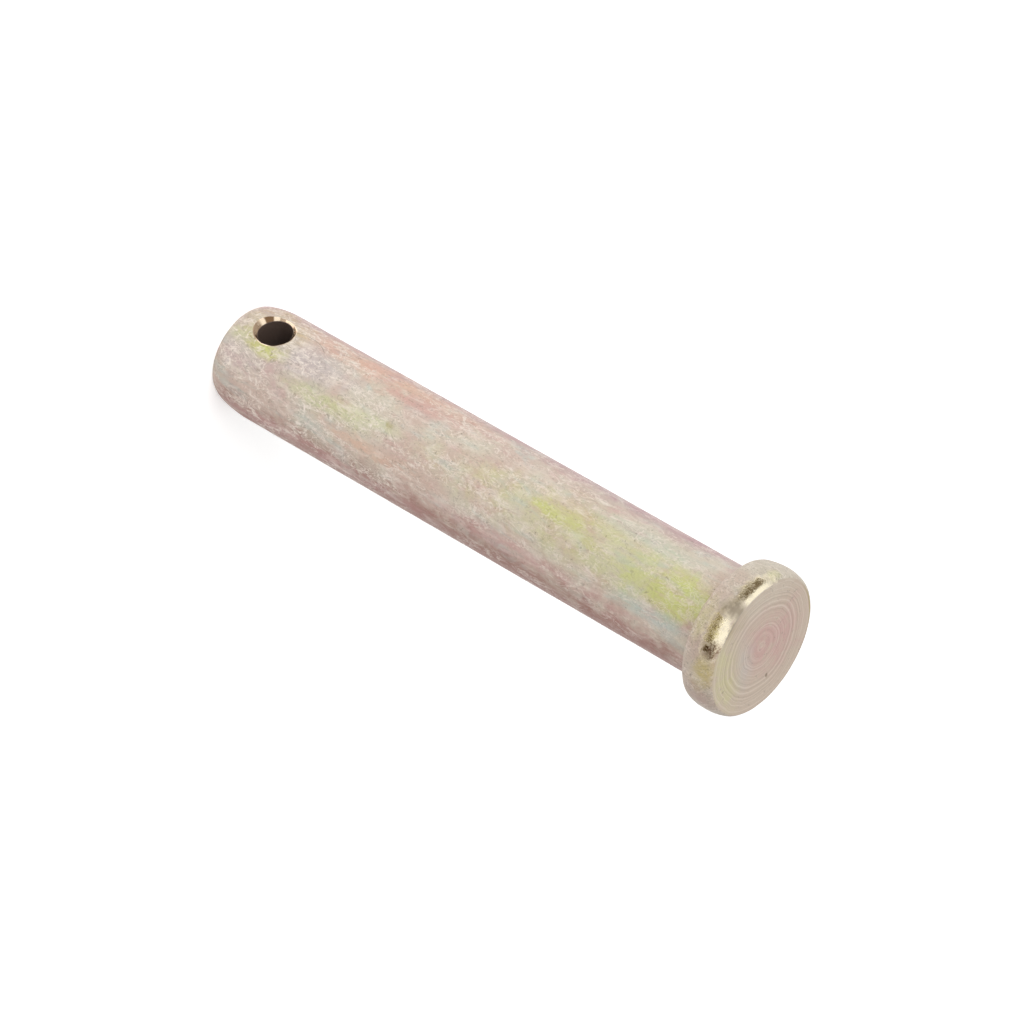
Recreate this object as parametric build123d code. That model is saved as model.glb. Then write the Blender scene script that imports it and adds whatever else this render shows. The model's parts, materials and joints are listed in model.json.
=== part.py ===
from build123d import *
import os

# A clevis pin: a plain round shank, headed at one end and drilled across at the other.
#
# The pin is cold headed from one length of steel rod, so it is one solid:
#   shank   a true cylinder, which turns in the clevis
#   head    a disc upset from the rod, with bulging edges to its rim and a sharp under side
#   point   the rounded lead-in at the drilled end, which the header left a little out of true
#   hole    drilled square across the shank near the point for a split pin, and broken at both mouths
#
# Millimetres, +Z up. The pin stands on the flat of its point with its head up, as it hangs in a clevis.
# The origin is the centre of that flat, and the hole runs along Y.

# Shank, for a 3/8 in hole
shank_diameter = 9.42
under_head_length = 52.0  # from the flat of the point to the seat under the head
under_head_fillet = 0.3

# Head
head_diameter = 12.6
head_height = 2.9
seat_edge_inset = 0.31  # how far the rounding of the rim eats into the seat
seat_edge_rise = 1.35  # and how far it climbs the rim
face_edge_inset = 0.47
face_edge_drop = 1.36

# Point: the rounding is a quarter ellipse about its own leaning axis, cut off by the flat
point_length = 3.56  # from the flat to the widest place of the rounding
point_swell = 0.82  # radial half axis of the ellipse
point_overrun = 0.12  # by which the ellipse would run on past the flat
point_oversize = 0.02  # by which the rounding is wider in radius than the shank
point_lean = 1.3  # degrees from the axis of the shank, towards +X

# Hole for the split pin
hole_diameter = 2.9
hole_from_end = 3.8
hole_break_depth = 0.47  # of the 45 degree cone at each mouth, along the hole

# Sizes that follow
shank_radius = shank_diameter / 2
head_radius = head_diameter / 2
hole_radius = hole_diameter / 2
overall_length = under_head_length + head_height
point_reach = point_length + point_overrun
tool_reach = head_diameter  # how far a cutting form reaches past the middle of the pin


def headed_blank():
    """The rod with its upset head, before the point is formed: one profile, revolved."""
    seat_z = under_head_length
    fillet_foot = (shank_radius, seat_z - under_head_fillet)
    fillet_top = (shank_radius + under_head_fillet, seat_z)
    seat_edge_centre = (head_radius - seat_edge_inset, seat_z + seat_edge_rise)
    face_edge_centre = (head_radius - face_edge_inset, overall_length - face_edge_drop)
    with BuildPart() as blank:
        with BuildSketch(Plane.XZ):
            with BuildLine():
                Polyline((0, overall_length), (0, 0), (shank_radius, 0), fillet_foot)
                RadiusArc(fillet_foot, fillet_top, under_head_fillet)
                Line(fillet_top, (seat_edge_centre[0], seat_z))
                EllipticalCenterArc(seat_edge_centre, seat_edge_inset, seat_edge_rise, -90)
                Line((head_radius, seat_edge_centre[1]), (head_radius, face_edge_centre[1]))
                EllipticalCenterArc(face_edge_centre, face_edge_inset, face_edge_drop, 0)
                Line((face_edge_centre[0], overall_length), (0, overall_length))
            make_face()
        revolve(axis=Axis.Z)
    return blank.part


def point_form():
    """The form that rounds the point: a bowl under its widest plane, and all the space above it.

    The leaning axis crosses the axis of the shank at the middle of the widest plane.
    """
    widest = shank_radius + point_oversize
    top = overall_length + tool_reach
    with BuildPart() as form:
        with BuildSketch(Plane.XZ):
            with BuildLine():
                Polyline((0, top), (0, -point_reach), (widest - point_swell, -point_reach))
                EllipticalCenterArc((widest - point_swell, 0), point_swell, point_reach, -90)
                Polyline((widest, 0), (tool_reach, 0), (tool_reach, top), (0, top))
            make_face()
        revolve(axis=Axis.Z)
    return form.part.rotate(Axis.Y, point_lean).moved(Location((0, 0, point_length)))


def split_pin_drill():
    """The drill along Y, with the 45 degree cones that break the edges of its mouths."""
    cone_height = tool_reach - shank_radius
    cone_foot = shank_radius - hole_break_depth
    cone = Cone(hole_radius, hole_radius + cone_height, cone_height)
    cone = cone.moved(Location((0, 0, cone_foot + cone_height / 2)))
    drill = Cylinder(hole_radius, 2 * tool_reach).rotate(Axis.X, 90)
    for turn in (-90, 90):
        drill += cone.rotate(Axis.X, turn)
    return drill.moved(Location((0, 0, hole_from_end)))


clevis_pin = (headed_blank() & point_form()) - split_pin_drill()

os.makedirs("parts", exist_ok=True)
export_step(clevis_pin, "parts/clevis_pin.step")
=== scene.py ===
"""A clevis pin in yellow passivated zinc, standing on the flat of its drilled end.

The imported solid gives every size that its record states. The skin is worked out again here as one
closed surface, fine enough to carry the dents, drawing marks, face rings and broken edges of the
real pin. Lengths in the shape functions are millimetres; the finished mesh is in metres.
"""

import json
import math
from types import SimpleNamespace

import bpy
import numpy as np
from mathutils import Matrix, Vector


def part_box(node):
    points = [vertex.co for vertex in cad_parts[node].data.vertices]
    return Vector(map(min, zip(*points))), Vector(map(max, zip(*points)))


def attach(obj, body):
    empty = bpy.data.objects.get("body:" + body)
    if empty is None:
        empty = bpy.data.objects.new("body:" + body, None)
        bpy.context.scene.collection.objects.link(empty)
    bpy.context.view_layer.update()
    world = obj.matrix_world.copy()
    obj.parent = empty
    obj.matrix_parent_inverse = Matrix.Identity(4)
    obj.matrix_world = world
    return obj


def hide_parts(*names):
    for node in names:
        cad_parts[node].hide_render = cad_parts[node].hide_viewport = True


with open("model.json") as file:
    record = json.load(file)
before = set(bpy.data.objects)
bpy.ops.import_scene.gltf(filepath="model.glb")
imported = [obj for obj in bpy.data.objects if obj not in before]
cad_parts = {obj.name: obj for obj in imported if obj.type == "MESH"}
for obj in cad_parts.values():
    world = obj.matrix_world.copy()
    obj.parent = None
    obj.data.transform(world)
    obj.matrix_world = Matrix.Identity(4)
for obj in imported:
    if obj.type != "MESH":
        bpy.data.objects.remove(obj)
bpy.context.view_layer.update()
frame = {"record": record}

MM = 0.001

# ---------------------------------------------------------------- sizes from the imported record

mounts = {mount["name"]: mount for mount in frame["record"]["mounts"]}
high_corner = np.array(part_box("clevis_pin")[1]) / MM
SHANK_RADIUS = mounts["shank"]["dims"]["r_mm"]
HOLE_RADIUS = mounts["cross_hole"]["dims"]["r_mm"]
HOLE_HEIGHT = mounts["cross_hole"]["pos_m"][2] / MM
SEAT_HEIGHT = mounts["head_seat"]["pos_m"][2] / MM
HEAD_RADIUS = float(high_corner[0])
TOP = float(high_corner[2])

# Forms that the record doesn't state, as the solid has them
NECK_FILLET = 0.3
SEAT_EDGE = (0.31, 1.35)  # half axes of the rounded edge of the rim, radial and axial
FACE_EDGE = (0.47, 1.36)
POINT_LENGTH = 3.56
POINT_SWELL = 0.82
POINT_OVERRUN = 0.12
POINT_OVERSIZE = 0.02
POINT_LEAN = math.radians(1.3)
BREAK_DEPTH = 0.47
PIT_ON_FACE = (-0.37, 3.47, 0.16, 0.22)  # middle in X and Y, and half sizes

# Relief of the skin: depth, cells round the pin, length of a cell and seed
DRAWING_WAVES = (0.010, 22, 7.0, 11)
CRUMPLE = (0.008, 64, 1.1, 12)
RIM_DENTS = (0.022, 34, 0.8, 21)
LATTICE_ROWS = 256

# Dents from the tumbling barrel: angle in degrees, height, half widths around and along, depth
DENTS = (
    (-62.0, 18.6, 0.35, 0.45, 0.060),
    (-98.0, 9.2, 0.22, 1.20, 0.035),
    (-30.0, 24.5, 0.50, 0.90, 0.030),
    (-12.0, 36.0, 0.60, 1.10, 0.030),
    (70.0, 14.0, 0.60, 0.80, 0.050),
    (150.0, 33.0, 0.70, 1.00, 0.045),
)

# Sums of sines: strength, rate and phase of each
CHATTER = ((0.025, 9, 0.6 + math.pi / 2), (0.035, 2, -2.4 + math.pi / 2))
RING_WOBBLE = ((0.05, 1, 0.8), (0.03, 2, -0.5))
RING_WAVES = ((1.0, 2 * math.pi / 0.46, 0.0), (0.6, 2 * math.pi / 0.31, 1.0))
RING_DEPTH = 0.010
RING_FADE = 0.3
PIT_DEPTH = 0.09

# Rows and columns of the mesh
SIDES = 288
POINT_STEP = 0.14
POINT_ROWS = 50
SHANK_ROWS = 140
FLAT_ROWS = 7
FACE_ROWS = 62
NECK_ROWS = 6
SEAT_ROWS = 5
SEAT_EDGE_ROWS = 15
FACE_EDGE_ROWS = 19
WINDOW_HALF = 24  # columns each side of the mouth's middle
WINDOW_ROWS = (8, 47)  # rows of the side that the window lies between
SKIN_RINGS = 9
SKIN_RING_POWER = 0.8  # below 1 draws the rings towards the mouth
BREAK_RINGS = 5
BORE_RINGS = 22
POINT_TRIES = 4
EDGE_TRIES = 30
BOWL_BOTTOM = -0.999  # just short of the bottom, where the bowl's side would lie level

# ---------------------------------------------------------------- the skin


def smooth_steps(x):
    """Ease from 0 to 1: three x squared less two x cubed, with x held between 0 and 1."""
    x = np.clip(x, 0.0, 1.0)
    return x * x * (3.0 - 2.0 * x)


def ripples(x, waves):
    """A sum over the waves: strength times the sine of rate times x plus phase."""
    return sum(strength * np.sin(rate * x + phase) for strength, rate, phase in waves)


def patchy(around, along, cells_around, cell_length, seed):
    """Smooth random height between -1 and 1 on a tube, from a lattice of seeded random values.

    around is in turns and along in millimetres. The lattice closes on itself after one turn, and
    the values of its four nearest corners are blended with an eased weight each way.
    """
    rows = LATTICE_ROWS
    lattice = np.random.default_rng(seed).uniform(-1.0, 1.0, (rows, cells_around))
    u = np.mod(around, 1.0) * cells_around
    v = along / cell_length + rows // 2
    column, row = np.floor(u).astype(int), np.floor(v).astype(int)
    across, up = smooth_steps(u - column), smooth_steps(v - row)
    near, far = column % cells_around, (column + 1) % cells_around
    low, high = row % rows, (row + 1) % rows
    lower = lattice[low, near] * (1 - across) + lattice[low, far] * across
    upper = lattice[high, near] * (1 - across) + lattice[high, far] * across
    return lower * (1 - up) + upper * up


def sunk(relief, angle, along):
    """A patchy relief, lowered by its depth so that it is never above zero."""
    depth, *lattice = relief
    return depth * (patchy(angle / (2 * math.pi), along, *lattice) - 1.0)


def point_radius(angle, height):
    """Radius of the rounded point: where a level ray at this angle leaves the leaning bowl.

    The bowl is a quarter ellipse turned about an axis that leans towards +X and crosses the pin's
    axis at the widest plane. Its radius depends on the depth along that axis, which depends in turn
    on the radius, so the two are worked out by turns.
    """
    lean_sin, lean_cos = math.sin(POINT_LEAN), math.cos(POINT_LEAN)
    centre = SHANK_RADIUS + POINT_OVERSIZE - POINT_SWELL
    rise = height - POINT_LENGTH
    across, out = np.cos(angle), np.full(np.broadcast(angle, height).shape, SHANK_RADIUS)
    reach = POINT_LENGTH + POINT_OVERRUN
    for _ in range(POINT_TRIES):
        depth = np.clip((rise * lean_cos + out * across * lean_sin) / reach, BOWL_BOTTOM, 0.0)
        bowl = centre + POINT_SWELL * np.sqrt(1.0 - depth**2)
        a = (across * lean_cos) ** 2 + np.sin(angle) ** 2
        b = across * lean_cos * rise * lean_sin
        c = (rise * lean_sin) ** 2 - bowl**2
        out = (b + np.sqrt(b * b - a * c)) / a
    return np.where(depth < 0.0, out, np.inf)


def shank_relief(angle, height):
    """Depth of the marks in the shank: long drawing waves, a finer crumple, and a few dents.

    A dent is a bell curve of the distance around and along. The sum is never above the true skin.
    """
    marks = sunk(DRAWING_WAVES, angle, height) + sunk(CRUMPLE, angle, height)
    for degrees, middle, half_around, half_along, depth in DENTS:
        swing = np.mod(angle - math.radians(degrees) + math.pi, 2 * math.pi) - math.pi
        square = (swing * SHANK_RADIUS / half_around) ** 2 + ((height - middle) / half_along) ** 2
        marks = marks - depth * np.exp(-square)
    return marks


def side_radius(angle, height):
    """Radius of the shank and its point: the lesser of cylinder and bowl, with the marks added."""
    return np.minimum(SHANK_RADIUS, point_radius(angle, height)) + shank_relief(angle, height)


def around_to_xyz(radius, angle, height):
    """Points from cylindrical to square coordinates."""
    radius, angle, height = np.broadcast_arrays(radius, angle, height)
    return np.stack([radius * np.cos(angle), radius * np.sin(angle), height], axis=-1)


def rounded_edge(half_axes, count):
    """A quarter ellipse from its outermost place to its flat end, spaced evenly in slope."""
    radial, axial = half_axes
    slope = np.linspace(0.0, math.pi / 2, count)
    turn = np.arctan2(np.sin(slope) * axial, np.cos(slope) * radial)
    return radial * (np.cos(turn) - 1.0), axial * np.sin(turn)


def side_heights():
    """Heights of the rows up the side: close together at the point, wider along the shank."""
    low = np.arange(POINT_ROWS) * POINT_STEP
    high = np.linspace(POINT_ROWS * POINT_STEP, SEAT_HEIGHT - NECK_FILLET, SHANK_ROWS)
    return np.concatenate([low, high])


def head_outline():
    """Radius and height of the head's outline, from the neck round the rim to the face's edge."""
    bend = np.linspace(0.0, math.pi / 2, NECK_ROWS)[1:]
    neck_r = SHANK_RADIUS + NECK_FILLET * (1.0 - np.cos(bend))
    neck_z = SEAT_HEIGHT - NECK_FILLET * (1.0 - np.sin(bend))
    seat_r = np.linspace(SHANK_RADIUS + NECK_FILLET, HEAD_RADIUS - SEAT_EDGE[0], SEAT_ROWS)[1:-1]
    seat_z = np.full_like(seat_r, SEAT_HEIGHT)
    low_r, low_z = (part[::-1] for part in rounded_edge(SEAT_EDGE, SEAT_EDGE_ROWS))
    high_r, high_z = rounded_edge(FACE_EDGE, FACE_EDGE_ROWS)
    radius = np.concatenate([neck_r, seat_r, HEAD_RADIUS + low_r, HEAD_RADIUS + high_r])
    height = np.concatenate(
        [neck_z, seat_z, SEAT_HEIGHT + SEAT_EDGE[1] - low_z, TOP - FACE_EDGE[1] + high_z]
    )
    return radius, height


def face_relief(x, y):
    """Depth of the marks in the head's face: the die's turned rings and one deep pit.

    A ring's height is the sum of two sines of the distance out, which is bent a little by a slow
    wave round the axis. The pit is a bell curve. The sum is never above the true face.
    """
    out = np.hypot(x, y)
    rings = ripples(out + ripples(np.arctan2(y, x), RING_WOBBLE), RING_WAVES)
    rings = rings / sum(wave[0] for wave in RING_WAVES) - 1.0
    middle_x, middle_y, half_x, half_y = PIT_ON_FACE
    pit = np.exp(-(((x - middle_x) / half_x) ** 2) - ((y - middle_y) / half_y) ** 2)
    fade = smooth_steps((HEAD_RADIUS - FACE_EDGE[0] - out) / RING_FADE)
    return fade * RING_DEPTH * rings - PIT_DEPTH * pit


def turned_rows(angle):
    """The rows of points of the whole pin without its hole, from the foot up and over the head.

    Each row goes once round. The foot's rows share out the radius of the point's edge, the side's
    follow side_radius, and the head's follow its outline, which swells and shrinks a little. The
    neck is as deep as the shank's relief is on average.
    """
    share = np.linspace(0.0, 1.0, FLAT_ROWS + 1)[1:-1, None]
    foot = around_to_xyz(share * side_radius(angle, np.zeros(1)), angle, 0.0)
    heights = side_heights()[:, None]
    side = around_to_xyz(side_radius(angle, heights), angle, heights)
    radius, height = (part[:, None] for part in head_outline())
    on_rim = smooth_steps(radius - SHANK_RADIUS - NECK_FILLET)
    neck_depth = DRAWING_WAVES[0] + CRUMPLE[0]
    relief = on_rim * sunk(RIM_DENTS, angle, height) - (1 - on_rim) * neck_depth
    head = around_to_xyz(radius + relief, angle, height)
    edge = head[-1]
    share = np.linspace(1.0, 0.0, FACE_ROWS + 1)[1:-1, None, None]
    face = edge * np.array([1.0, 1.0, 0.0]) * share + np.array([0.0, 0.0, TOP])
    face[..., 2] += face_relief(face[..., 0], face[..., 1])
    return np.concatenate([foot, side, head, face])


def mouth_rings(loop_angle, loop_height):
    """Rings from the window's border in to the mouth at -Y, then down its break to the bore.

    loop_angle and loop_height are the border's points. Each has a direction from the hole's
    middle. The break is a 45 degree cone with nine faint flats left by the chattering tool, and
    its edge is where it comes out through the skin: the radius there and the skin's depth are
    worked out by turns until they agree.
    """
    way = np.arctan2(loop_height - HOLE_HEIGHT, (loop_angle + math.pi / 2) * SHANK_RADIUS)
    chatter = ripples(way, CHATTER)
    foot_depth = SHANK_RADIUS - BREAK_DEPTH
    edge = np.full_like(way, HOLE_RADIUS + BREAK_DEPTH)
    for _ in range(EDGE_TRIES):
        x, z = edge * np.cos(way), HOLE_HEIGHT + edge * np.sin(way)
        skin = side_radius(np.arctan2(-np.sqrt(SHANK_RADIUS**2 - x**2), x), z)
        depth = np.sqrt(skin**2 - x**2)
        edge = 0.5 * edge + 0.5 * (HOLE_RADIUS + depth - foot_depth + chatter)
    edge_angle = np.arctan2(-depth, x)
    share = smooth_steps(np.linspace(0.0, 1.0, SKIN_RINGS + 1)[1:, None]) ** SKIN_RING_POWER
    angle = loop_angle + share * (edge_angle - loop_angle)
    height = loop_height + share * (z - loop_height)
    skin_rings = around_to_xyz(side_radius(angle, height), angle, height)
    down = np.linspace(0.0, 1.0, BREAK_RINGS + 1)[1:, None]
    out = edge + down * (HOLE_RADIUS - edge)
    break_rings = np.stack(
        [
            out * np.cos(way),
            -(depth + down * (foot_depth - depth)),
            HOLE_HEIGHT + out * np.sin(way),
        ],
        axis=-1,
    )
    return np.concatenate([skin_rings, break_rings])


def ring_quads(rings):
    """Quads between successive closed rings of vertex numbers, one row of numbers to a ring."""
    ahead = np.roll(rings, -1, axis=1)
    quads = np.stack([rings[:-1], ahead[:-1], ahead[1:], rings[1:]], axis=-1)
    return quads.reshape(-1, 4)


def window_border(rows, columns):
    """Row and column of each border point of a window, once round from its lower left corner."""
    (low, high), (left, right) = rows, columns
    across, up = np.arange(left, right), np.arange(low, high)
    row = np.concatenate([np.full_like(across, low), up, np.full_like(across, high), up[::-1] + 1])
    column = np.concatenate(
        [across, np.full_like(up, right), across[::-1] + 1, np.full_like(up, left)]
    )
    return row, column


def pin_surface():
    """The pin as vertices, quads and triangles: one closed skin with the hole drilled through it.

    A grid of rows turned about Z has two windows left open, one at each mouth. Rings run from the
    border of the window at -Y in through its mouth, along the bore and out to the other window.
    The half at +Y is the mirror image, so its rings are the same ones with Y turned about.
    """
    angle = (np.arange(SIDES) / SIDES - 0.5) * 2 * math.pi
    rows = turned_rows(angle)
    count = len(rows)
    numbers = np.arange(count * SIDES).reshape(count, SIDES)

    first_row = FLAT_ROWS - 1
    middle = SIDES // 4
    row, column = window_border(WINDOW_ROWS, (middle - WINDOW_HALF, middle + WINDOW_HALF))
    near_loop = numbers[row + first_row, column]
    far_loop = numbers[row + first_row, (SIDES - column) % SIDES]
    mouth = mouth_rings(angle[column], side_heights()[row])
    share = np.linspace(-1.0, 1.0, BORE_RINGS + 2)[1:-1, None]
    foot = mouth[-1]
    bore = np.stack(
        [foot[:, 0] + 0 * share, -share * foot[:, 1], foot[:, 2] + 0 * share], axis=-1
    )
    far_mouth = mouth[::-1] * np.array([1.0, -1.0, 1.0])
    inner = np.concatenate([mouth, bore, far_mouth])
    start = count * SIDES
    inner_numbers = start + np.arange(inner.shape[0] * inner.shape[1]).reshape(inner.shape[:2])
    tunnel = ring_quads(np.concatenate([near_loop[None], inner_numbers, far_loop[None]]))

    low_pole = start + inner_numbers.size
    poles = np.array([[0.0, 0.0, 0.0], [0.0, 0.0, TOP - RING_DEPTH]])
    vertices = np.concatenate([rows.reshape(-1, 3), inner.reshape(-1, 3), poles])

    skin = ring_quads(numbers).reshape(count - 1, SIDES, 4)
    keep = np.ones((count - 1, SIDES), bool)
    high_and_low = slice(WINDOW_ROWS[0] + first_row, WINDOW_ROWS[1] + first_row)
    for centre in (middle, SIDES - middle):
        keep[high_and_low, centre - WINDOW_HALF : centre + WINDOW_HALF] = False
    quads = np.concatenate([skin[keep], tunnel])

    ahead = np.roll(numbers, -1, axis=1)
    low_fan = np.stack([np.full(SIDES, low_pole), ahead[0], numbers[0]], axis=-1)
    high_fan = np.stack([numbers[-1], ahead[-1], np.full(SIDES, low_pole + 1)], axis=-1)
    return vertices, quads, np.concatenate([low_fan, high_fan])


SHARP_EDGE = 35.0  # degrees


def make_piece(name, vertices, quads, triangles=(), sharp_above=None):
    """A Blender object from millimetre vertices and faces, smooth apart from its sharp edges."""
    mesh = bpy.data.meshes.new(name)
    faces = np.asarray(quads).tolist() + np.asarray(triangles).tolist()
    mesh.from_pydata((np.asarray(vertices) * MM).tolist(), [], faces)
    mesh.polygons.foreach_set("use_smooth", np.ones(len(faces), bool))
    if sharp_above is not None:
        mesh.set_sharp_from_angle(angle=math.radians(sharp_above))
    mesh.update()
    piece = bpy.data.objects.new(name, mesh)
    bpy.context.scene.collection.objects.link(piece)
    return piece


# ---------------------------------------------------------------- node helpers


TURN = (0.7, 0.5, 0.3)  # radians about X, Y and Z, out of line with the pin


class Nodes:
    """Short ways to add nodes to one tree, each returning the output that is used next."""

    def __init__(self, tree):
        self.tree = tree

    def node(self, kind, values=None, **settings):
        made = self.tree.nodes.new(kind)
        for name, value in settings.items():
            setattr(made, name, value)
        for socket, value in (values or {}).items():
            self.put(made.inputs[socket], value)
        return made

    def put(self, socket, value):
        if isinstance(value, bpy.types.NodeSocket):
            self.tree.links.new(value, socket)
        else:
            socket.default_value = value

    def math(self, operation, *values):
        values = dict(enumerate(values))
        return self.node("ShaderNodeMath", values, operation=operation).outputs[0]

    def product(self, first, *others):
        """The product of all the values."""
        for other in others:
            first = self.math("MULTIPLY", first, other)
        return first

    def vector(self, operation, *values):
        made = self.node("ShaderNodeVectorMath", dict(enumerate(values)), operation=operation)
        return made.outputs["Value" if operation == "LENGTH" else "Vector"]

    def ramp(self, value, low, high, to_low=0.0, to_high=1.0, smooth=True):
        """A value eased from to_low at low to to_high at high, and held beyond both."""
        kind = "SMOOTHSTEP" if smooth else "LINEAR"
        values = {0: value, 1: low, 2: high, 3: to_low, 4: to_high}
        return self.node("ShaderNodeMapRange", values, interpolation_type=kind).outputs[0]

    def noise(self, vector, scale, detail=2.0, roughness=0.5, distortion=0.0):
        values = {"Vector": vector, "Scale": scale, "Detail": detail, "Roughness": roughness,
                  "Distortion": distortion}
        return self.node("ShaderNodeTexNoise", values).outputs["Fac"]

    def mix(self, share, first, second, blend="MIX"):
        values = {0: share, 6: first, 7: second}
        made = self.node("ShaderNodeMix", values, data_type="RGBA", blend_type=blend)
        return made.outputs[2]

    def turned(self, vector):
        """A vector turned out of line with the pin, so that no noise runs square to it."""
        values = {"Vector": vector, "Rotation": TURN}
        return self.node("ShaderNodeVectorRotate", values, rotation_type="EULER_XYZ").outputs[0]

    def coat(self, tint, film, share, *masks):
        """A tint with a film laid over it, by a share times each of the masks."""
        return self.mix(self.product(*masks, share), tint, film)

    def blend(self, share, first, second):
        return self.node("ShaderNodeMix", {0: share, 2: first, 3: second}).outputs[0]

    def join(self, x, y, z):
        return self.node("ShaderNodeCombineXYZ", {0: x, 1: y, 2: z}).outputs[0]

    def group_into(self, tree, values):
        made = self.tree.nodes.new("ShaderNodeGroup")
        made.node_tree = tree
        for socket, value in values.items():
            self.put(made.inputs[socket], value)
        return made.outputs


def new_group(name, inputs, outputs):
    """An empty shader group: name to socket type and default value, its way in and its way out."""
    tree = bpy.data.node_groups.new(name, "ShaderNodeTree")
    for label, (kind, value) in inputs.items():
        socket = tree.interface.new_socket(label, in_out="INPUT", socket_type=f"NodeSocket{kind}")
        socket.default_value = value
    for label, kind in outputs.items():
        tree.interface.new_socket(label, in_out="OUTPUT", socket_type=f"NodeSocket{kind}")
    way_in = tree.nodes.new("NodeGroupInput")
    way_out = tree.nodes.new("NodeGroupOutput")
    return tree, Nodes(tree), way_in.outputs, way_out.inputs


# ---------------------------------------------------------------- effects

MIDDLE = 0.5  # the value that a noise wanders about
HALF_TURN = 180.0
OUTER_SOFTNESS = 0.5  # how much of a cloud's softness lies outside its edge

# Wrinkles: detail, roughness and distortion of their noise, its squeeze along the pin, and the
# noise that breaks them into strokes
WRINKLE = (2.0, 0.6, 1.2)
WRINKLES_DRAWN = (1.0, 1.0, 0.45)
STROKE_SCALE = 1.1
STROKE_DETAIL = 2.0
STROKES = (0.38, 0.52)

# Grit: the noises of its pits and grains, and how far a pit's edge reaches below and above
PITTING = (2.0, 0.6, 0.5)
PIT_EDGE = (0.05, 0.03)
GRAIN_SCALE = 2.3
GRAINS = (3.0, 0.7)

# Rings: the scale and detail of what bends them, how far it does, and their own noise
RING_BEND = (0.5, 2.0)
RING_BEND_SIZE = 0.5
RING_NOISE = {"Scale": 1.0, "Detail": 3.0, "Roughness": 0.7}
RING_CONTRAST = (0.3, 0.7)


def place_group():
    """Where a point is on the pin: millimetres, their parts, angle in degrees, distance out."""
    tree, n, way_in, out = new_group(
        "place on pin",
        {"Vector": ("Vector", (0, 0, 0))},
        {"Millimetres": "Vector", "X": "Float", "Y": "Float", "Height": "Float",
         "Angle": "Float", "Out": "Float"},
    )
    millimetres = n.vector("MULTIPLY", way_in["Vector"], (1 / MM,) * 3)
    x, y, height = n.node("ShaderNodeSeparateXYZ", {0: millimetres}).outputs
    n.put(out["Millimetres"], millimetres)
    n.put(out["X"], x)
    n.put(out["Y"], y)
    n.put(out["Height"], height)
    n.put(out["Angle"], n.math("DEGREES", n.math("ARCTAN2", y, x)))
    n.put(out["Out"], n.vector("LENGTH", n.join(x, y, 0.0)))
    return tree


def cloud_group():
    """A soft cloud: 1 in its middle, easing to 0 at its ragged edge.

    Across and Along are any two measures of place, such as degrees round and millimetres up. The
    distance from the middle, in half sizes, has a noise added before it is eased.
    """
    tree, n, way_in, out = new_group(
        "soft cloud",
        {
            "Across": ("Float", 0.0), "Along": ("Float", 0.0), "Ragged": ("Float", 0.0),
            "Middle Across": ("Float", 0.0), "Middle Along": ("Float", 0.0),
            "Half Across": ("Float", 20.0), "Half Along": ("Float", 5.0),
            "Soft": ("Float", 0.8),
        },
        {"Share": "Float"},
    )
    swing = n.math("SUBTRACT", way_in["Across"], way_in["Middle Across"])
    swing = n.math("WRAP", swing, HALF_TURN, -HALF_TURN)
    across = n.math("DIVIDE", swing, way_in["Half Across"])
    rise = n.math("SUBTRACT", way_in["Along"], way_in["Middle Along"])
    along = n.math("DIVIDE", rise, way_in["Half Along"])
    far = n.math("ADD", n.vector("LENGTH", n.join(across, along, 0.0)), way_in["Ragged"])
    inner = n.math("SUBTRACT", 1.0, way_in["Soft"])
    outer = n.math("ADD", 1.0, n.product(way_in["Soft"], OUTER_SOFTNESS))
    n.put(out["Share"], n.ramp(far, inner, outer, 1.0, 0.0))
    return tree


def crinkle_group():
    """Fine wrinkles drawn out along the pin: thin bent lines where a noise crosses its middle.

    A second, finer noise breaks the lines into short strokes.
    """
    tree, n, way_in, out = new_group(
        "crinkle",
        {"Vector": ("Vector", (0, 0, 0)), "Size": ("Float", 1.0), "Width": ("Float", 0.03)},
        {"Lines": "Float"},
    )
    drawn = n.turned(n.vector("MULTIPLY", way_in["Vector"], WRINKLES_DRAWN))
    field = n.noise(drawn, n.math("DIVIDE", 1.0, way_in["Size"]), *WRINKLE)
    off = n.math("ABSOLUTE", n.math("SUBTRACT", field, MIDDLE))
    line = n.ramp(off, 0.0, way_in["Width"], 1.0, 0.0)
    stroke_scale = n.math("DIVIDE", STROKE_SCALE, way_in["Size"])
    strokes = n.noise(way_in["Vector"], stroke_scale, STROKE_DETAIL)
    n.put(out["Lines"], n.product(line, n.ramp(strokes, *STROKES)))
    return tree


def grit_group():
    """Pits and grains of the etched film: Pits is 1 in a pit, and Grain wanders about one half."""
    tree, n, way_in, out = new_group(
        "etched grit",
        {"Vector": ("Vector", (0, 0, 0)), "Size": ("Float", 0.3), "Pitted": ("Float", 0.33)},
        {"Pits": "Float", "Grain": "Float"},
    )
    scale = n.math("DIVIDE", 1.0, way_in["Size"])
    field = n.noise(way_in["Vector"], scale, *PITTING)
    low = n.math("SUBTRACT", way_in["Pitted"], PIT_EDGE[0])
    high = n.math("ADD", way_in["Pitted"], PIT_EDGE[1])
    n.put(out["Pits"], n.ramp(field, low, high, 1.0, 0.0))
    n.put(out["Grain"], n.noise(way_in["Vector"], n.product(scale, GRAIN_SCALE), *GRAINS))
    return tree


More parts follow.
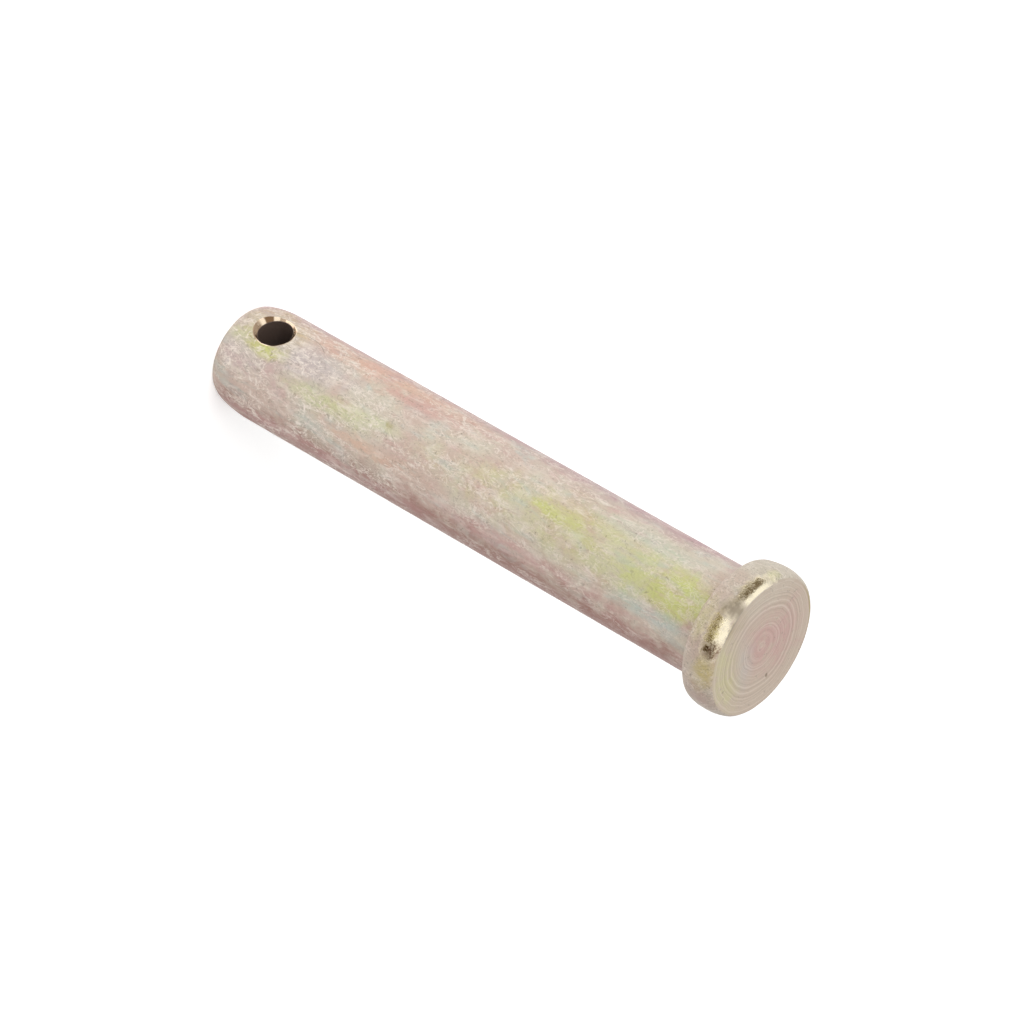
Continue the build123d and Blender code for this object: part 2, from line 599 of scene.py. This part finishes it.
def ring_group():
    """Rings left by the header's turned die: a noise of the distance out alone, a little bent."""
    tree, n, way_in, out = new_group(
        "turned rings",
        {"Vector": ("Vector", (0, 0, 0)), "Out": ("Float", 0.0), "Spacing": ("Float", 0.4)},
        {"Rings": "Float"},
    )
    bend = n.math("SUBTRACT", n.noise(way_in["Vector"], *RING_BEND), MIDDLE)
    bent = n.product(bend, RING_BEND_SIZE)
    count = n.math("DIVIDE", n.math("ADD", way_in["Out"], bent), way_in["Spacing"])
    made = n.node("ShaderNodeTexNoise", {"W": count, **RING_NOISE}, noise_dimensions="1D")
    n.put(out["Rings"], n.ramp(made.outputs["Fac"], *RING_CONTRAST))
    return tree


PLACE = place_group()
CLOUD = cloud_group()
CRINKLE = crinkle_group()
GRIT = grit_group()
RINGS = ring_group()


# ---------------------------------------------------------------- finish


def colour(red, green, blue):
    """A colour as the eye names it, 0 to 255 a channel, as the shader's linear values."""
    channel = np.array([red, green, blue]) / 255
    linear = np.where(channel > 0.04045, ((channel + 0.055) / 1.055) ** 2.4, channel / 12.92)
    return (*linear.tolist(), 1.0)


STRAW = colour(210, 200, 182)
BLUSH = colour(206, 184, 170)
FAWN = colour(202, 184, 166)
PEACH = colour(222, 178, 152)
ROSE = colour(202, 154, 152)
MAUVE = colour(204, 170, 174)
LILAC = colour(198, 186, 184)
REDDISH_FILM_AND_SHADE = colour(152, 100, 88)
ASHEN = colour(148, 134, 116)
SAGE = colour(204, 206, 158)
LIME = colour(206, 210, 132)
ICE = colour(190, 202, 196)
PLUM_FILM_AND_SHADE = colour(182, 142, 146)
GOLD = colour(200, 184, 104)
CREAM = colour(242, 231, 220)
UMBER = colour(128, 112, 94)
RUBBED = colour(255, 243, 214)
OLIVE = colour(168, 152, 96)
BRASSY = colour(255, 234, 206)
DARK_REFLECTION_BROWN = colour(118, 86, 56)
DARK_BORE_AND_SHADE = colour(88, 73, 65)

# Clouds of the passivation film on the shank: tint, share, and then degrees round and
# millimetres up of the middle, and half the size each way. The wide ones lie under the others.
# The reddish clouds near 26 degrees round and the plum ones near -140 degrees are partly film
# tint and partly painted shade, darkening those two sides.
WIDE_CLOUDS = (
    (REDDISH_FILM_AND_SHADE, 0.90, 26.0, 27.0, 38.0, 80.0),
    # Plum clouds: film tint and painted shade darkening the side near -140 degrees.
    (PLUM_FILM_AND_SHADE, 0.85, -148.0, 26.0, 32.0, 90.0),
    (PLUM_FILM_AND_SHADE, 0.90, -136.0, 2.0, 32.0, 5.0),
    (LILAC, 0.60, -82.0, 4.0, 52.0, 8.0),
)
SHANK_CLOUDS = (
    (PEACH, 0.65, -112.0, 14.0, 24.0, 12.0),
    (ROSE, 0.45, -98.0, 20.0, 12.0, 6.0),
    # Plum cloud: film tint and painted shade darkening the side near -140 degrees.
    (PLUM_FILM_AND_SHADE, 0.70, -130.0, 47.0, 20.0, 10.0),
    (LILAC, 0.60, -78.0, 9.0, 18.0, 5.0),
    (SAGE, 0.80, -50.0, 12.0, 11.0, 5.0),
    (SAGE, 0.70, -59.0, 16.5, 7.0, 3.5),
    (OLIVE, 0.60, -62.0, 18.5, 3.0, 0.5),
    (SAGE, 0.75, -73.0, 1.5, 11.0, 1.8),
    (LIME, 0.50, -62.0, 41.0, 33.0, 15.0),
    (LIME, 0.85, -55.0, 48.6, 24.0, 4.5),
    (LIME, 0.70, -68.0, 35.0, 9.0, 4.0),
    (ICE, 0.40, -92.0, 44.0, 9.0, 6.0),
    (ICE, 0.75, -28.0, 47.5, 9.0, 4.0),
    (LIME, 0.95, -67.0, 4.6, 9.0, 2.2),
    (GOLD, 0.60, -94.0, 3.8, 35.0, 2.9),
    (MAUVE, 0.40, -45.0, 2.0, 12.0, 3.0),
    (PEACH, 0.55, -30.0, 18.0, 9.0, 6.0),
    (ROSE, 0.55, -14.0, 34.0, 12.0, 10.0),
    # The rose and reddish clouds below are film tint and painted shade on the side near 20 degrees.
    (ROSE, 0.50, 8.0, 12.0, 10.0, 14.0),
    (REDDISH_FILM_AND_SHADE, 0.25, 4.0, 33.0, 9.0, 8.0),
    (REDDISH_FILM_AND_SHADE, 0.45, 20.0, 47.0, 18.0, 9.0),
    (LIME, 0.40, 110.0, 30.0, 28.0, 12.0),
    (GOLD, 0.35, 165.0, 14.0, 26.0, 8.0),
    (MAUVE, 0.50, 80.0, 8.0, 24.0, 7.0),
    (SAGE, 0.45, 185.0, 44.0, 24.0, 7.0),
)

# The same on the rim of the head, in degrees round and millimetres below its top, and on its face
# in millimetres of X and Y. On the rim, the umber cloud at -84 degrees and the two dark brown ones
# are painted dark reflection, laid where the rim's dark band lies.
RIM_FILM_AND_PAINTED_BAND = (
    (GOLD, 0.65, -15.0, 0.7, 17.0, 1.1),
    (LIME, 0.35, -50.0, 2.3, 20.0, 0.8),
    (LIME, 0.40, -112.0, 0.5, 9.0, 0.5),
    # Film tint and painted shade on the rim's side near 20 degrees.
    (REDDISH_FILM_AND_SHADE, 0.30, 20.0, 1.5, 34.0, 3.0),
    # The umber and the two dark brown clouds below are painted dark reflection on the rim's dark
    # band.
    (UMBER, 0.85, -84.0, 0.70, 15.0, 0.45),
    (DARK_REFLECTION_BROWN, 0.60, -47.0, 1.15, 17.0, 0.40),
    (DARK_REFLECTION_BROWN, 0.90, -34.5, 0.75, 8.0, 0.65),
)
FACE_CLOUDS = (
    (STRAW, 0.50, -1.5, -4.6, 4.0, 1.8),
    (ROSE, 0.58, -1.1, 0.2, 3.9, 3.4),
    (LIME, 0.36, 4.4, -0.4, 1.7, 4.6),
    (ICE, 0.30, 2.1, 0.4, 1.1, 2.6),
    (OLIVE, 0.45, 3.2, -4.6, 1.6, 0.9),
)

# Stains in the bright places of the rim, placed as its clouds are: olive, gold and dark brown on
# the rubbed metal, partly its own tone and partly painted dark reflection where its dark band lies
STAINS_AND_DARK_REFLECTION = (
    (OLIVE, 0.60, -84.0, 0.8, 16.0, 0.45),
    (GOLD, 0.75, -48.0, 1.1, 16.0, 0.6),
    (DARK_REFLECTION_BROWN, 0.95, -34.0, 0.5, 7.0, 0.8),
)

# Places on the rim that are rubbed bright, in degrees round and millimetres below the top, one
# less bright between them, and the dull patch across it
RUBBED_PLACES = ((-91.0, 0.30, 20.0, 0.84), (-46.0, 0.70, 20.0, 0.97))
LESS_RUBBED_PLACE = (-67.0, 0.5, 12.0, 0.90)
DULL_PLACE = (-68.0, 0.3, 7.5, 1.2)

# Lines of old film along the face's edge, in degrees round and millimetres in from the rim
EDGE_CLOUDS = (
    (OLIVE, 0.75, -178.0, 0.54, 24.0, 0.09),
    (UMBER, 0.75, -55.0, 0.72, 16.0, 0.15),
)

# Painted dark reflections on the facets of the hole's broken edge, by its direction from the hole's
# middle
BREAK_DARK_REFLECTIONS = (
    (DARK_REFLECTION_BROWN, 0.95, -121.0, 0.0, 14.0, 9.0),
    (DARK_REFLECTION_BROWN, 0.65, -161.0, 0.0, 12.0, 9.0),
    (DARK_REFLECTION_BROWN, 0.75, -50.0, 0.0, 38.0, 9.0),
    (DARK_REFLECTION_BROWN, 0.85, 65.0, 0.0, 46.0, 9.0),
)

# The long mark dragged from the hole's edge: part of a leaning ellipse
DRAG_ANGLE = -84.0
DRAG_HEIGHT = 7.2
DRAG_LEAN = -1.5  # degrees round to a millimetre up
DRAG_HALF_ANGLE = 20.0
DRAG_HALF_HEIGHT = 2.4
DRAG_WIDTH = 0.035
DRAG_END = (-97.0, -93.0)

# Noises of the finish: scale to a millimetre, detail, roughness and distortion
DRIFT = (0.45, 4.0, 0.62, 0.8)
BLUSHING = (0.22, 3.0, 0.6)
STREAKS = (0.6, 4.0, 0.62, 0.5)
GAPS = (1.1, 4.0, 0.65)
SCUFFS = (1.3, 3.0, 0.6, 0.5)
PATCHES = (0.7, 2.0)
BLOTCHES = (1.9, 3.0, 0.65)
DRAWN = (1.0, 1.0, 0.3)  # squeezes the noises that run along the pin
RAGGED = 1.8  # how far a noise moves the edge of a cloud, in half sizes of the cloud

# Wrinkles and grit: sizes in millimetres
LARGE_WRINKLES = {"Size": 0.9, "Width": 0.034}
SMALL_WRINKLES = {"Size": 0.55, "Width": 0.055}
DARK_WRINKLES = {"Size": 0.6, "Width": 0.026}
ELSEWHERE = (31.0, 17.0, 5.0)  # moves the dark wrinkles off the pale ones
GRITTY = {"Size": 0.35, "Pitted": 0.32}
RING_SPACING = 0.26

# Ramps: from and to, and the value at each where they aren't 0 and 1
BLUSHED = (0.40, 0.62)
ROSY = (0.52, 0.68, 0.0, 0.45)
ICY = (0.48, 0.34, 0.0, 0.45)
UNBROKEN = (0.36, 0.56, 0.35, 1.0)
WORN = (8.0, 46.0, 1.12, 0.6)
SCUFFED = (0.50, 0.66)
PATCHED = (0.38, 0.58, 0.15, 1.0)
GRAINY = (0.46, 0.34, 0.0, 0.38)
TONE = (0.25, 0.75, 0.90, 1.08)
PALE_RINGS = (0.5, 1.0, 0.0, 0.24)
DARK_RINGS = (0.4, 0.0, 0.0, 0.14)
# The stains placed by SPECKLED are partly painted dark reflection.
SPECKLED = (0.38, 0.58, 0.35, 1.0)  # where stains lie on the rubbed metal
MATT = (0.3, 0.7, 0.38, 0.54)
POLISHED = (0.45, 0.65, 0.16, 0.30)

# Softness of the clouds' edges
FILM_SOFT = 0.8
RUBBED_SOFT = 0.55
STAIN_AND_REFLECTION_SOFT = 0.6
BREAK_REFLECTION_SOFT = 0.3
FACE_PIT_SOFT = 0.5

# Edges of the parts of the pin, eased over a short way
CONE = SHANK_RADIUS - BREAK_DEPTH - HOLE_RADIUS
HEAD_FROM = (SEAT_HEIGHT - 0.1, SEAT_HEIGHT + 0.1)
FACE_FROM = (TOP - 0.4, TOP - 0.2)
FACE_WITHIN = (HEAD_RADIUS - 0.42, HEAD_RADIUS - 0.52)
RUBBED_BEYOND = (HEAD_RADIUS - 0.75, HEAD_RADIUS - 0.60)
BORE_WITHIN = (HOLE_RADIUS + 0.02, HOLE_RADIUS + 0.06, 1.0, 0.0)
BREAK_FROM = (CONE - 0.08, CONE - 0.05)
BREAK_BELOW = 3 * HOLE_HEIGHT

# Shares of the effects in the tint
RIM_UMBER = 0.12
SCUFF_SHARE = 0.31
DARK_SHARE = 0.36
LINE_SHARE = 0.80
SMALL_LINE_SHARE = 0.8
PIT_SHARE = 0.42
DRAG_SHARE = 0.55
FACE_PIT_SHARE = 0.75
LESS_RUBBED = 0.7
DULL_SHARE = 0.85
DULLED = 0.8

# Metal, roughness and relief
FILM_METAL = 0.42
BORE_ROUGHNESS = 0.6
LINE_RISE = 0.6
PIT_FALL = 0.6
GRAIN_RISE = 0.8
DRAG_FALL = 0.8
RUBBED_GRAIN_RISE = 1.1
RING_RISE = 0.6
BUMP_STRENGTH = 0.6
BUMP_DEPTH = 0.03


def cloud_values(across, along, spot, **others):
    """What a cloud node is given: two measures of place, and the spot's middle and half sizes."""
    names = ("Middle Across", "Middle Along", "Half Across", "Half Along")
    return {"Across": across, "Along": along, **dict(zip(names, spot)), **others}


def tinted(n, tint, clouds, across, along, ragged, unbroken, soft=FILM_SOFT):
    """A tint with each of the clouds laid over it in turn, thinned where the film is broken."""
    for film, share, *spot in clouds:
        values = cloud_values(across, along, spot, Ragged=ragged, Soft=soft)
        tint = n.coat(tint, film, share, n.group_into(CLOUD, values)["Share"], unbroken)
    return tint


def parts_of_pin(n, place):
    """How far a point is on each part of the pin, 0 to 1: its head, face, broken edges and bore.

    A broken edge is a cone, on which the depth along the hole's axis less the distance from that
    axis is one value. way is the direction from the hole's middle in degrees, below the distance
    below the top, and inward that from the rim.
    """
    height, out = place["Height"], place["Out"]
    on_face = n.product(n.ramp(height, *FACE_FROM), n.ramp(out, *FACE_WITHIN))
    rise = n.math("SUBTRACT", height, HOLE_HEIGHT)
    from_hole = n.vector("LENGTH", n.join(place["X"], rise, 0.0))
    beyond_cone = n.ramp(
        n.math("SUBTRACT", n.math("ABSOLUTE", place["Y"]), from_hole), *BREAK_FROM
    )
    return SimpleNamespace(
        head=n.ramp(height, *HEAD_FROM),
        face=on_face,
        off_face=n.math("SUBTRACT", 1.0, on_face),
        past_edge=n.ramp(out, *RUBBED_BEYOND),
        cone=n.product(beyond_cone, n.math("LESS_THAN", height, BREAK_BELOW)),
        bore=n.ramp(from_hole, *BORE_WITHIN),
        way=n.math("DEGREES", n.math("ARCTAN2", rise, place["X"])),
        below=n.math("SUBTRACT", TOP, height),
        inward=n.math("SUBTRACT", HEAD_RADIUS, out),
    )


def film_and_painted_light_tint(n, place, on, drawn, ragged):
    """The film's tint, straw drifting to blush, with each part's clouds over it: some are painted
    shade, some painted dark reflection.
    """
    angle, height = place["Angle"], place["Height"]
    blushing = n.noise(n.turned(place["Millimetres"]), *BLUSHING)
    tint = n.mix(n.ramp(blushing, *BLUSHED), STRAW, BLUSH)
    streaks = n.noise(drawn, *STREAKS)
    unbroken = n.ramp(n.noise(drawn, *GAPS), *UNBROKEN)
    shank = n.mix(n.ramp(streaks, *ROSY), tint, ROSE)
    shank = n.mix(n.ramp(streaks, *ICY), shank, ICE)
    shank = tinted(n, shank, WIDE_CLOUDS, angle, height, ragged, 1.0)
    shank = tinted(n, shank, SHANK_CLOUDS, angle, height, ragged, unbroken)
    rim = n.mix(RIM_UMBER, tint, UMBER)
    rim = tinted(n, rim, RIM_FILM_AND_PAINTED_BAND, angle, on.below, ragged, 1.0)
    face = tinted(n, FAWN, FACE_CLOUDS, place["X"], place["Y"], ragged, unbroken)
    face = tinted(n, face, EDGE_CLOUDS, angle, on.inward, 0.0, 1.0)
    return n.mix(on.face, n.mix(on.head, shank, rim), face)


def drag_mark(n, place):
    """The long mark from the hole's edge: a thin line where a skewed distance is one half size."""
    rise = n.math("SUBTRACT", place["Height"], DRAG_HEIGHT)
    swing = n.math("SUBTRACT", place["Angle"], DRAG_ANGLE)
    swing = n.math("ADD", swing, n.product(rise, DRAG_LEAN))
    across = n.math("DIVIDE", swing, DRAG_HALF_ANGLE)
    along = n.math("DIVIDE", rise, DRAG_HALF_HEIGHT)
    off = n.math("SUBTRACT", n.vector("LENGTH", n.join(across, along, 0.0)), 1.0)
    line = n.ramp(n.math("ABSOLUTE", off), 0.0, DRAG_WIDTH, 1.0, 0.0)
    return n.product(line, n.ramp(place["Angle"], *DRAG_END, 1.0, 0.0))


def film_marks(n, place, on, drawn):
    """The film's marks, 0 to 1 each, most on the shank short of the head.

    They are scuffs, pale lines that are partly painted glints on the raised wrinkles, dark lines,
    pits, grain, the face's rings and pit, and the drag mark.
    """
    point = place["Millimetres"]
    worn = n.product(on.off_face, n.ramp(place["Height"], *WORN, smooth=False))
    large = n.group_into(CRINKLE, {"Vector": point, **LARGE_WRINKLES})["Lines"]
    small = n.group_into(CRINKLE, {"Vector": point, **SMALL_WRINKLES})["Lines"]
    pale = n.math("MAXIMUM", large, n.product(small, SMALL_LINE_SHARE))
    elsewhere = n.vector("ADD", point, ELSEWHERE)
    dark = n.group_into(CRINKLE, {"Vector": elsewhere, **DARK_WRINKLES})["Lines"]
    grit = n.group_into(GRIT, {"Vector": point, **GRITTY})
    rings = {"Vector": point, "Out": place["Out"], "Spacing": RING_SPACING}
    face_pit = cloud_values(place["X"], place["Y"], PIT_ON_FACE, Soft=FACE_PIT_SOFT)
    return SimpleNamespace(
        scuffs=n.product(n.ramp(n.noise(drawn, *SCUFFS), *SCUFFED), worn),
        lines=n.product(pale, n.ramp(n.noise(drawn, *PATCHES), *PATCHED), worn),
        dark=n.product(dark, worn),
        pits=grit["Pits"],
        grain=grit["Grain"],
        rings=n.group_into(RINGS, rings)["Rings"],
        face_pit=n.group_into(CLOUD, face_pit)["Share"],
        drag=drag_mark(n, place),
    )


def marked(n, tint, marks, on):
    """A tint with the film's marks laid over it."""
    tint = n.coat(tint, CREAM, SCUFF_SHARE, marks.scuffs)
    tint = n.coat(tint, UMBER, DARK_SHARE, marks.dark)
    # Pale wrinkle lines: film marks, and partly painted glints on the raised wrinkles.
    tint = n.coat(tint, CREAM, LINE_SHARE, marks.lines)
    tint = n.coat(tint, UMBER, PIT_SHARE, marks.pits)
    tint = n.coat(tint, UMBER, n.ramp(marks.grain, *GRAINY), on.head, on.off_face)
    tone = n.ramp(marks.grain, *TONE, smooth=False)
    tint = n.mix(1.0, tint, n.join(tone, tone, tone), "MULTIPLY")
    tint = n.coat(tint, UMBER, DRAG_SHARE, marks.drag)
    tint = n.coat(tint, CREAM, n.ramp(marks.rings, *PALE_RINGS), on.face)
    tint = n.coat(tint, UMBER, n.ramp(marks.rings, *DARK_RINGS), on.face)
    return n.coat(tint, UMBER, FACE_PIT_SHARE, marks.face_pit, on.face)


def bright_and_dull(n, place, on, blotch):
    """How far the rim beside the face is rubbed bright, and how far it is dull, 0 to 1 each."""
    ragged = n.product(n.math("SUBTRACT", blotch, MIDDLE), RAGGED)

    def share(spot, **others):
        values = cloud_values(place["Angle"], on.below, spot, Ragged=ragged, **others)
        return n.group_into(CLOUD, values)["Share"]

    first, second = (share(spot, Soft=RUBBED_SOFT) for spot in RUBBED_PLACES)
    less = n.product(share(LESS_RUBBED_PLACE, Soft=RUBBED_SOFT), LESS_RUBBED)
    bright = n.math("MAXIMUM", n.math("MAXIMUM", first, second), less)
    bright = n.product(bright, on.past_edge, on.head)
    dull = n.product(share(DULL_PLACE), on.past_edge, on.head, DULL_SHARE)
    return bright, dull, ragged


def plated_steel():
    """Yellow passivated zinc over steel: drifting tints, wrinkled film, bright where it is rubbed.

    The shank, the rim, the face of the head, the broken edges of the hole and the bore each have
    their own share of the effects, by their place on the pin.
    """
    material = bpy.data.materials.new("yellow passivated zinc")
    material.use_nodes = True
    material.node_tree.nodes.clear()
    n = Nodes(material.node_tree)
    where = n.node("ShaderNodeTexCoord").outputs["Object"]
    place = n.group_into(PLACE, {"Vector": where})
    point = place["Millimetres"]
    on = parts_of_pin(n, place)
    drawn = n.turned(n.vector("MULTIPLY", point, DRAWN))
    drift = n.noise(n.turned(point), *DRIFT)
    ragged = n.product(n.math("SUBTRACT", drift, MIDDLE), RAGGED)
    marks = film_marks(n, place, on, drawn)
    tint = marked(n, film_and_painted_light_tint(n, place, on, drawn, ragged), marks, on)

    # The rim's bright and dull places, then the broken edges of the hole, then its bore
    blotch = n.noise(n.turned(point), *BLOTCHES)
    bright, dull, blotches = bright_and_dull(n, place, on, blotch)
    speckled = n.ramp(marks.grain, *SPECKLED)
    angle = place["Angle"]
    # The rubbed metal: its stains are partly painted dark reflection along the rim's dark band.
    rubbed = tinted(n, RUBBED, STAINS_AND_DARK_REFLECTION, angle, on.below, blotches, speckled, STAIN_AND_REFLECTION_SOFT)
    # The broken edge: brassy metal, with dark brown painted reflections on some of its facets.
    broken = tinted(n, BRASSY, BREAK_DARK_REFLECTIONS, on.way, 0.0, ragged, 1.0, BREAK_REFLECTION_SOFT)
    tint = n.mix(bright, tint, rubbed)
    tint = n.mix(dull, tint, ASHEN)
    tint = n.mix(on.cone, tint, broken)
    # The bore: a dark tint that is partly painted shade inside the hole.
    tint = n.mix(on.bore, tint, DARK_BORE_AND_SHADE)
    bright = n.product(bright, n.math("SUBTRACT", 1.0, n.product(dull, DULLED)))
    bright = n.math("MAXIMUM", bright, on.cone)

    metallic = n.product(n.blend(bright, FILM_METAL, 1.0), n.math("SUBTRACT", 1.0, on.bore))
    roughness = n.blend(bright, n.ramp(marks.grain, *MATT), n.ramp(blotch, *POLISHED))
    roughness = n.blend(on.bore, roughness, BORE_ROUGHNESS)
    relief = n.math("SUBTRACT", n.product(marks.lines, LINE_RISE), n.product(marks.pits, PIT_FALL))
    relief = n.math("ADD", relief, n.product(marks.grain, GRAIN_RISE))
    relief = n.math("SUBTRACT", relief, n.product(marks.drag, DRAG_FALL))
    rubbed_relief = n.math("ADD", blotch, n.product(marks.grain, RUBBED_GRAIN_RISE))
    relief = n.blend(bright, relief, rubbed_relief)
    relief = n.math("ADD", relief, n.product(marks.rings, on.face, RING_RISE))

    surface = n.node(
        "ShaderNodeBsdfPrincipled",
        {"Base Color": tint, "Metallic": metallic, "Roughness": roughness},
    )
    bump = {"Height": relief, "Strength": BUMP_STRENGTH, "Distance": BUMP_DEPTH * MM}
    n.put(surface.inputs["Normal"], n.node("ShaderNodeBump", bump).outputs[0])
    n.node("ShaderNodeOutputMaterial", {"Surface": surface.outputs[0]})
    return material


# ---------------------------------------------------------------- camera

AIM = Vector((0.0006, 0.0001, 0.0297))
VIEW_DISTANCE = 0.414
VIEW_AZIMUTH = math.radians(35.44)
VIEW_ELEVATION = math.radians(31.09)
VIEW_ROLL = math.radians(119.8)
VIEW_SIDE = VIEW_AZIMUTH - math.pi / 2  # angle about Z of the side that the camera is on
SENSOR = 36.0
LENS = 184.2
CLIP_START = 0.01


def make_camera():
    """The camera, turned about the vertical, raised, and rolled so that the pin lies aslant."""
    back = Vector(
        (
            math.sin(VIEW_AZIMUTH) * math.cos(VIEW_ELEVATION),
            -math.cos(VIEW_AZIMUTH) * math.cos(VIEW_ELEVATION),
            math.sin(VIEW_ELEVATION),
        )
    )
    level = Vector((math.cos(VIEW_AZIMUTH), math.sin(VIEW_AZIMUTH), 0.0))
    upright = back.cross(level)
    right = level * math.cos(VIEW_ROLL) + upright * math.sin(VIEW_ROLL)
    up = back.cross(right)
    data = bpy.data.cameras.new("camera")
    data.sensor_width = SENSOR
    data.lens = LENS
    data.clip_start = CLIP_START
    camera = bpy.data.objects.new("camera", data)
    turn = Matrix((right, up, back)).transposed().to_4x4()
    camera.matrix_world = Matrix.Translation(AIM + back * VIEW_DISTANCE) @ turn
    bpy.context.scene.collection.objects.link(camera)
    bpy.context.scene.camera = camera


# ---------------------------------------------------------------- studio

FLOOR_HALF = 3000.0  # millimetres
FLOOR_COLOUR = (0.9, 0.9, 0.9, 1.0)
FLOOR_GLOW = 0.5
WORLD_LIGHT = 0.72
WHITE = (1.0, 1.0, 1.0, 1.0)
MATT_ROUGHNESS = 0.9
CARD_COLOUR = (0.27, 0.22, 0.16, 1.0)
SHADE_COLOUR = (0.08, 0.06, 0.05, 1.0)
CARD_COLUMNS = 41

# Dark cards: name, from and to in degrees from the camera's side, and outline of radius and height
CARDS = (
    ("left_card", -92.0, -34.0, ((175.0, 1.0), (400.0, 1.0), (400.0, 200.0))),
    ("front_card", -34.0, 30.0, ((95.0, 1.0), (380.0, 1.0))),
    ("right_card", 30.0, 56.0, ((95.0, 1.0), (380.0, 1.0), (380.0, 155.0))),
)
SHADE_CARD = ("shade_card", 50.0, 160.0, ((500.0, 0.0), (500.0, 700.0)))
KEY_LAMP = {"from_side": -30.0, "elevation": 38.0, "distance": 0.6, "size": 0.4, "power": 1.35}


def seen_directly(n):
    """1 for rays from the camera and for mirror and glass rays, which all show the background."""
    path = n.node("ShaderNodeLightPath").outputs
    seen = n.math("MAXIMUM", path["Is Camera Ray"], path["Is Glossy Ray"])
    return n.math("MAXIMUM", seen, path["Is Transmission Ray"])


def white_floor():
    """A white floor: a matt surface that takes shadows, lifted to white where it is seen."""
    corners = FLOOR_HALF * np.array([[-1, -1, 0], [1, -1, 0], [1, 1, 0], [-1, 1, 0]])
    floor = make_piece("floor", corners, [[0, 1, 2, 3]])
    material = bpy.data.materials.new("white floor")
    material.use_nodes = True
    n = Nodes(material.node_tree)
    surface = material.node_tree.nodes["Principled BSDF"]
    n.put(surface.inputs["Base Color"], FLOOR_COLOUR)
    n.put(surface.inputs["Roughness"], MATT_ROUGHNESS)
    n.put(surface.inputs["Specular IOR Level"], 0.0)
    n.put(surface.inputs["Emission Color"], WHITE)
    n.put(surface.inputs["Emission Strength"], n.product(seen_directly(n), FLOOR_GLOW))
    floor.data.materials.append(material)


def white_world():
    """Even light from all round, and a white background where it is seen."""
    world = bpy.data.worlds.new("studio")
    bpy.context.scene.world = world
    world.use_nodes = True
    n = Nodes(world.node_tree)
    background = world.node_tree.nodes["Background"]
    n.put(background.inputs["Color"], WHITE)
    n.put(background.inputs["Strength"], n.blend(seen_directly(n), WORLD_LIGHT, 1.0))


def soft_lamp(name, from_side, elevation, distance, size, power):
    """A square soft lamp facing the middle of the pin, which metal doesn't mirror; power in watts.

    from_side is its bearing in degrees from the camera's side, and elevation is in degrees.
    """
    turn, rise = VIEW_SIDE + math.radians(from_side), math.radians(elevation)
    way = Vector((math.cos(turn) * math.cos(rise), math.sin(turn) * math.cos(rise), math.sin(rise)))
    data = bpy.data.lights.new(name, "AREA")
    data.shape = "SQUARE"
    data.size = size
    data.energy = power
    lamp = bpy.data.objects.new(name, data)
    lamp.visible_glossy = False
    lamp.location = AIM + way * distance
    lamp.rotation_euler = way.to_track_quat("Z", "Y").to_euler()
    bpy.context.scene.collection.objects.link(lamp)


def dark_card(name, from_side, to_side, outline, shades=False):
    """A dark card for the metal to reflect: an outline of radius and height, swept round Z.

    from_side and to_side are degrees from the camera's side. The card throws no shadow. One that
    shades isn't reflected, and holds back the soft light from its side instead.
    """
    turn = VIEW_SIDE + np.radians(np.linspace(from_side, to_side, CARD_COLUMNS))
    radius, height = np.array(outline).T
    points = around_to_xyz(radius[:, None], turn, height[:, None])
    numbers = np.arange(points[..., 0].size).reshape(points.shape[:2])
    quads = np.stack(
        [numbers[:-1, :-1], numbers[:-1, 1:], numbers[1:, 1:], numbers[1:, :-1]], axis=-1
    )
    card = make_piece(name, points.reshape(-1, 3), quads.reshape(-1, 4))
    material = bpy.data.materials.new(name)
    material.use_nodes = True
    surface = material.node_tree.nodes["Principled BSDF"]
    surface.inputs["Base Color"].default_value = SHADE_COLOUR if shades else CARD_COLOUR
    surface.inputs["Roughness"].default_value = MATT_ROUGHNESS
    surface.inputs["Specular IOR Level"].default_value = 0.0
    card.data.materials.append(material)
    card.visible_camera = False
    card.visible_diffuse = shades
    card.visible_glossy = not shades
    card.visible_shadow = False


bpy.context.scene.view_settings.view_transform = "Standard"
make_camera()
pin = make_piece("plated_pin", *pin_surface(), sharp_above=SHARP_EDGE)
pin.data.materials.append(plated_steel())
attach(pin, "root")
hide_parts("clevis_pin")

white_floor()
white_world()
for card in CARDS:
    dark_card(*card)
dark_card(*SHADE_CARD, shades=True)
soft_lamp("key_lamp", **KEY_LAMP)
